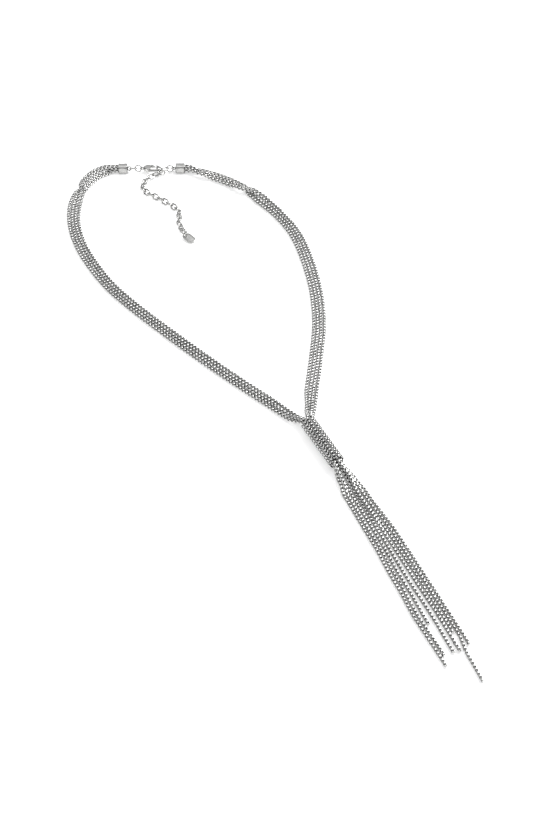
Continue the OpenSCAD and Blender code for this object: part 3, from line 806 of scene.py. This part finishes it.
def make_floor():
    bm = bmesh.new()
    bmesh.ops.create_grid(bm, x_segments=1, y_segments=1, size=FLOOR_HALF)
    floor = bpy.data.objects.new("floor", as_mesh(bm, "floor"))
    floor.location.z = -FLOOR_DROP
    bpy.context.scene.collection.objects.link(floor)
    mat = bpy.data.materials.new("floor_white")
    mat.use_nodes = True
    shader = mat.node_tree.nodes["Principled BSDF"]
    shader.inputs["Base Color"].default_value = FLOOR_COLOUR
    shader.inputs["Roughness"].default_value = 0.9
    shader.inputs["Specular IOR Level"].default_value = 0.1
    shader.inputs["Emission Color"].default_value = (1, 1, 1, 1)
    shader.inputs["Emission Strength"].default_value = FLOOR_GLOW
    paint(floor, mat)


def make_light(name, place, size, watts):
    data = bpy.data.lights.new(name, "AREA")
    data.shape = "RECTANGLE"
    data.size, data.size_y = size
    data.energy = watts
    lamp = bpy.data.objects.new(name, data)
    lamp.location = place
    lamp.rotation_euler = (Vector(AIM) - Vector(place)).to_track_quat("-Z", "Y").to_euler()
    bpy.context.scene.collection.objects.link(lamp)


def make_lights():
    for name, place, size, watts in LIGHTS:
        make_light(name, place, size, watts)
    world = bpy.data.worlds.new("studio")
    world.use_nodes = True
    back = world.node_tree.nodes["Background"]
    back.inputs["Color"].default_value = WORLD_COLOUR
    back.inputs["Strength"].default_value = WORLD_STRENGTH
    bpy.context.scene.world = world


def make_camera():
    """The photo's view, from above the surface and to the left of the tassel"""
    up, side = math.radians(VIEW_ABOVE), math.radians(VIEW_LEFT)
    offset = Vector((-math.cos(up) * math.sin(side), -math.cos(up) * math.cos(side), math.sin(up)))
    data = bpy.data.cameras.new("camera")
    data.sensor_width = SENSOR_MM
    data.lens = LENS_MM
    data.clip_start = 0.05
    camera = bpy.data.objects.new("camera", data)
    camera.location = Vector(VIEW_TARGET) + VIEW_REACH * offset
    camera.rotation_euler = (-offset).to_track_quat("-Z", "Y").to_euler()
    bpy.context.scene.collection.objects.link(camera)
    bpy.context.scene.camera = camera


def main():
    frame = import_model()
    # chain_metal, sleeve_metal and cap_metal carry painted shade: a dark tone inside the links, in the
    # sleeve's gaps and on the caps' undersides and ends
    chain_metal = metal("chain_metal", (0.57, 0.57, 0.56), (0.75, 0.75, 0.74), (0.18, 0.32), shade_tone=0.06)
    sleeve_metal = metal("sleeve_metal", (0.74, 0.74, 0.73), (0.9, 0.9, 0.89), (0.2, 0.3), shade_tone=0.015)
    cap_metal = metal("cap_metal", (0.44, 0.44, 0.43), (0.54, 0.54, 0.53), (0.36, 0.46), 400.0, shade_tone=0.1)
    # Painted shade: the tag's raised border is drawn in a darker copy of the tag's metal
    rim_metal = metal("rim_metal", (0.3, 0.3, 0.295), (0.4, 0.4, 0.39), (0.24, 0.34), 400.0)
    bright_metal = metal("bright_metal", (0.48, 0.48, 0.47), (0.58, 0.58, 0.57), (0.16, 0.26), 400.0)
    link_metal = metal("link_metal", (0.44, 0.44, 0.43), (0.56, 0.56, 0.55), (0.2, 0.3), 400.0)

    pieces = []
    for k in range(4):
        pieces.append((make_box_chain(f"left_chain_{k + 1}", LEFT_ROUTE, LEFT_CHAINS[k], LEFT_SEED + k),
                       f"chain_left_{k + 1}", chain_metal, "chain_metal"))
        pieces.append((make_box_chain(f"right_chain_{k + 1}", RIGHT_ROUTE, RIGHT_CHAINS[k], RIGHT_SEED + k),
                       f"chain_right_{k + 1}", chain_metal, "chain_metal"))
    pieces.append((make_sleeve(), "sleeve", sleeve_metal, "chain_metal"))
    pieces.append((make_extension_chain(), "extension_chain", link_metal, "bright_metal"))
    left = make_link("left_link", *LEFT_LINK, LEFT_LINK_LEAN, LINE_Z)
    pieces.append((left, "link_left", link_metal, "bright_metal"))
    way = (RIGHT_RING_START - HOOK_OUT) / np.linalg.norm(RIGHT_RING_START - HOOK_OUT)
    right = make_link("right_link", HOOK_OUT - RIGHT_LINK_IN * way, RIGHT_RING_START + RIGHT_LINK_OUT * way,
                      0, LINE_Z + RIGHT_LINK_RISE)
    pieces.append((right, "link_right", link_metal, "bright_metal"))
    pieces.append((make_cap("left_cap", 0, 1, 40), "end_cap_left", cap_metal, "bright_metal"))
    pieces.append((make_cap("right_cap", LINE_LEN, -1, 0), "end_cap_right", cap_metal, "bright_metal"))
    pieces.append((make_clasp(), "clasp_body", bright_metal, "bright_metal"))
    lever = make_lever()
    paint(lever, bright_metal)
    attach(lever, "lever")
    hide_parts("clasp_lever")
    rim = make_tag_rim()
    paint(rim, rim_metal)
    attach(rim, "necklace")
    for obj, node, mat, slot in pieces:
        paint(obj, mat)
        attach(obj, "necklace")
        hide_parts(node)
    for node in ("jump_ring_left", "hook_ring", "jump_ring_right", "tag_ring"):
        paint(frame["nodes"][node], link_metal)
    paint(frame["nodes"]["tag"], bright_metal)

    make_floor()
    make_lights()
    make_camera()
    bpy.context.scene.view_settings.view_transform = "Standard"


main()
